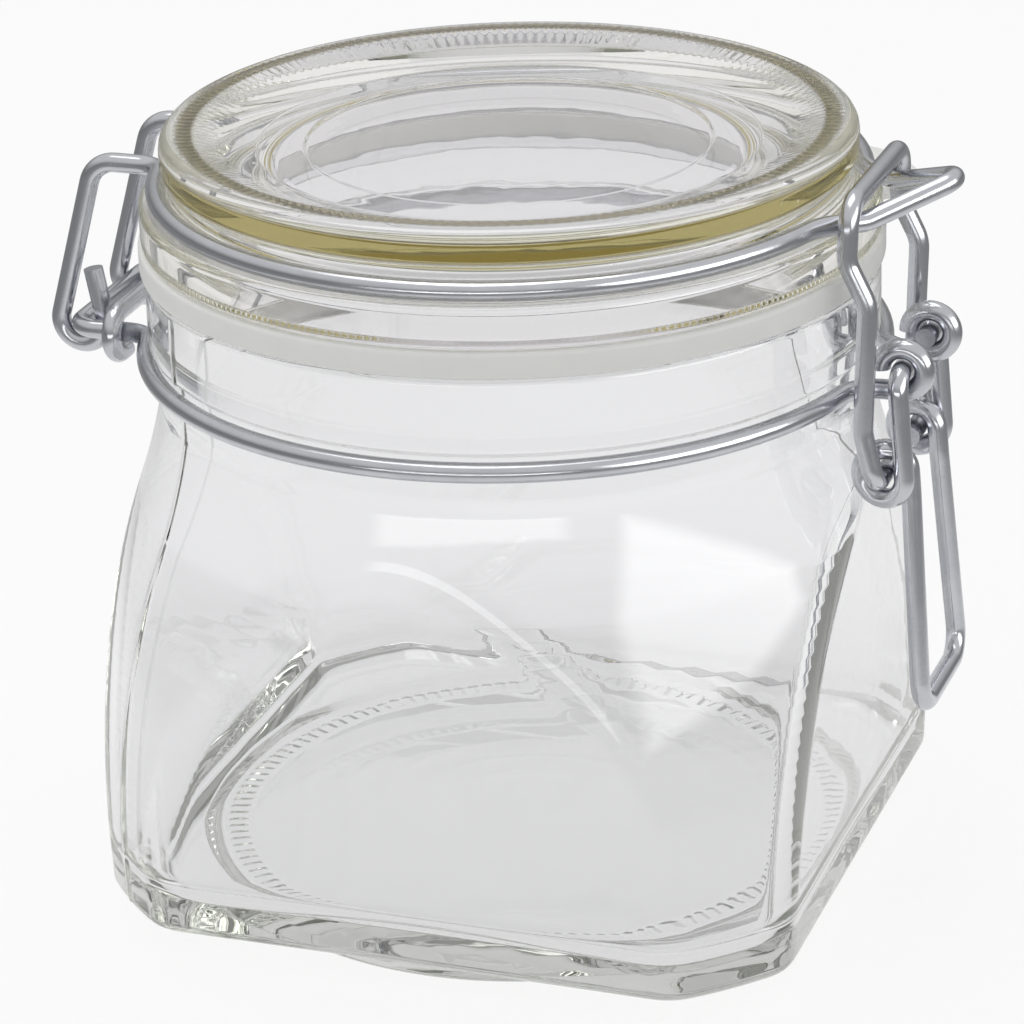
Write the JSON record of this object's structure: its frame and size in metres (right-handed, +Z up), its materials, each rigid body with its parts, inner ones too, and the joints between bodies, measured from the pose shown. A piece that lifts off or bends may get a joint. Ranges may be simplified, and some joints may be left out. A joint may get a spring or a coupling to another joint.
{
  "type": "lidded glass canister",
  "caption": "Clip-top glass jar: squarish body with arch-topped flats, round neck, hinged glass lid, sealing ring with pull tab, and a bent-wire lever clasp that closes it.",
  "frame": {"origin": "on the table, on the axis of the jar's round neck, in the middle of the foot's hollow", "axes": "+Z up along the jar's axis, +X towards the clasp, -X towards the lid's hinge"},
  "size_m": [0.1226, 0.0994, 0.1034],
  "materials": {
    "clear_glass": "pressed, fire polished",
    "white_silicone": "moulded, satin",
    "drawn_wire": "bright drawn wire"
  },
  "bodies": {
    "jar": {"glass_jar": "clear_glass", "neck_wire": "drawn_wire", "neck_tie": "drawn_wire"},
    "lid": {"glass_lid": "clear_glass", "rubber_seal": "white_silicone", "lid_wire": "drawn_wire"},
    "lever": {"latch_lever": "drawn_wire"},
    "clasp": {"clasp_loop": "drawn_wire"}
  },
  "joints": [
    {"name": "lid_hinge", "type": "hinge", "parent": "jar", "child": "lid", "pos_m": [-0.0579, 0, 0.0737], "axis": [0, -1, 0], "range_deg": [0, 180]},
    {"name": "lever_lift", "type": "hinge", "parent": "jar", "child": "lever", "pos_m": [0.0543, 0, 0.07655], "axis": [0, -1, 0], "range_deg": [0, 140]},
    {"name": "clasp_swing", "type": "hinge", "parent": "lever", "child": "clasp", "pos_m": [0.0523, 0, 0.0628], "axis": [0, -1, 0], "range_deg": [-105, 0]}
  ],
  "couplings": [
    {"joint": "clasp_swing", "follows": "lever_lift", "ratio": -0.75}
  ]
}
